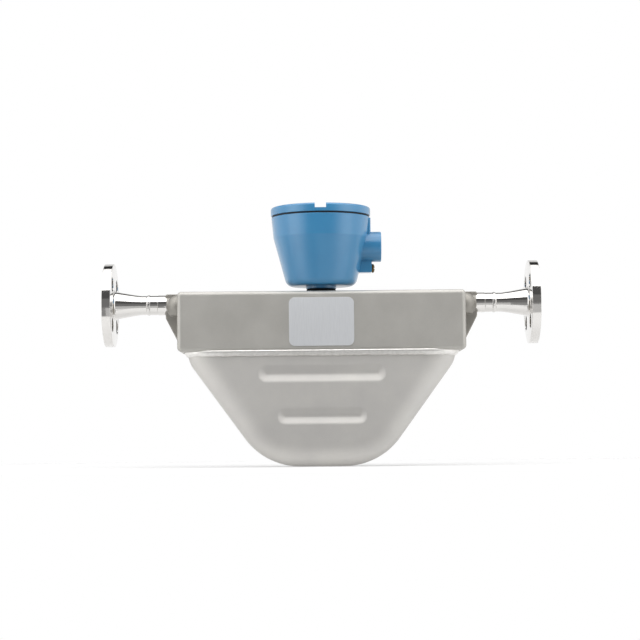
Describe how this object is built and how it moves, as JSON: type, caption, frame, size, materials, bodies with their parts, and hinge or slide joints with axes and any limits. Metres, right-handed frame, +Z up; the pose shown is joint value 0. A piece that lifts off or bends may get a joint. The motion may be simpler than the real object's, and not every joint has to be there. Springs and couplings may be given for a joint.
{
  "type": "coriolis flow meter",
  "caption": "Flanged stainless dual-tube mass flow meter with a long box, a pressed tapering case below and a blue screw-top electronics housing.",
  "frame": {"origin": "centre of the flow bore at the inlet flange's raised face", "axes": "+X along the flow line towards the outlet, +Y from the label side to the back, +Z up towards the electronics housing"},
  "size_m": [0.465, 0.1068, 0.2766],
  "materials": {
    "polished_steel": "polished turned stainless steel",
    "weld_steel": "as-welded bead, lightly brushed",
    "cast_steel": "cast and bead blasted",
    "blasted_steel": "fine matte bead blasted",
    "label_metal": "satin brushed",
    "black_finish": "matte black",
    "pin_brass": "plated",
    "blue_paint": "satin gloss paint",
    "seal_rubber": "matte",
    "bronzed_screw": "darkened",
    "module_plastic": "potted",
    "small_steel": "plated",
    "terminal_plastic": "moulded",
    "tube_steel": "drawn",
    "coil_copper": "enamelled wire",
    "magnet_metal": "nickel plated",
    "element_ceramic": "ceramic",
    "lead_plastic": "film"
  },
  "bodies": {
    "meter": {"inlet_flange": "polished_steel", "outlet_flange": "polished_steel", "flange_welds": "weld_steel", "inlet_manifold": "cast_steel", "outlet_manifold": "cast_steel", "upper_case": "blasted_steel", "lower_case_front": "blasted_steel", "lower_case_rear": "blasted_steel", "case_weld": "weld_steel", "case_seam_weld": "weld_steel", "label_plate": "label_metal", "neck_adapter": "black_finish", "feedthrough": "pin_brass", "housing_body": "blue_paint", "ground_screw": "bronzed_screw", "core_module": "module_plastic", "module_screws": "small_steel", "terminal_block": "terminal_plastic", "flow_tube_front": "tube_steel", "flow_tube_rear": "tube_steel", "inlet_braces": "tube_steel", "outlet_braces": "tube_steel", "tube_saddles": "tube_steel", "drive_coil": "coil_copper", "drive_magnet": "magnet_metal", "inlet_pickoff_coil": "coil_copper", "inlet_pickoff_magnet": "magnet_metal", "outlet_pickoff_coil": "coil_copper", "outlet_pickoff_magnet": "magnet_metal", "temperature_sensor": "element_ceramic", "lead_board": "terminal_plastic", "coil_leads": "lead_plastic"},
    "seal": {"cover_seal": "seal_rubber"},
    "cover": {"housing_cover": "blue_paint"}
  },
  "joints": [
    {"name": "cover_lift", "type": "slide", "parent": "meter", "child": "seal", "axis": [0, 0, 1], "range_m": [0, 0.01]},
    {"name": "cover_turn", "type": "hinge", "parent": "seal", "child": "cover", "pos_m": [0.2325, 0, 0.0942], "axis": [0, 0, 1], "range_deg": [0, 1800]}
  ],
  "couplings": [
    {"joint": "cover_lift", "follows": "cover_turn", "m_per_rad": 0.0003183}
  ]
}
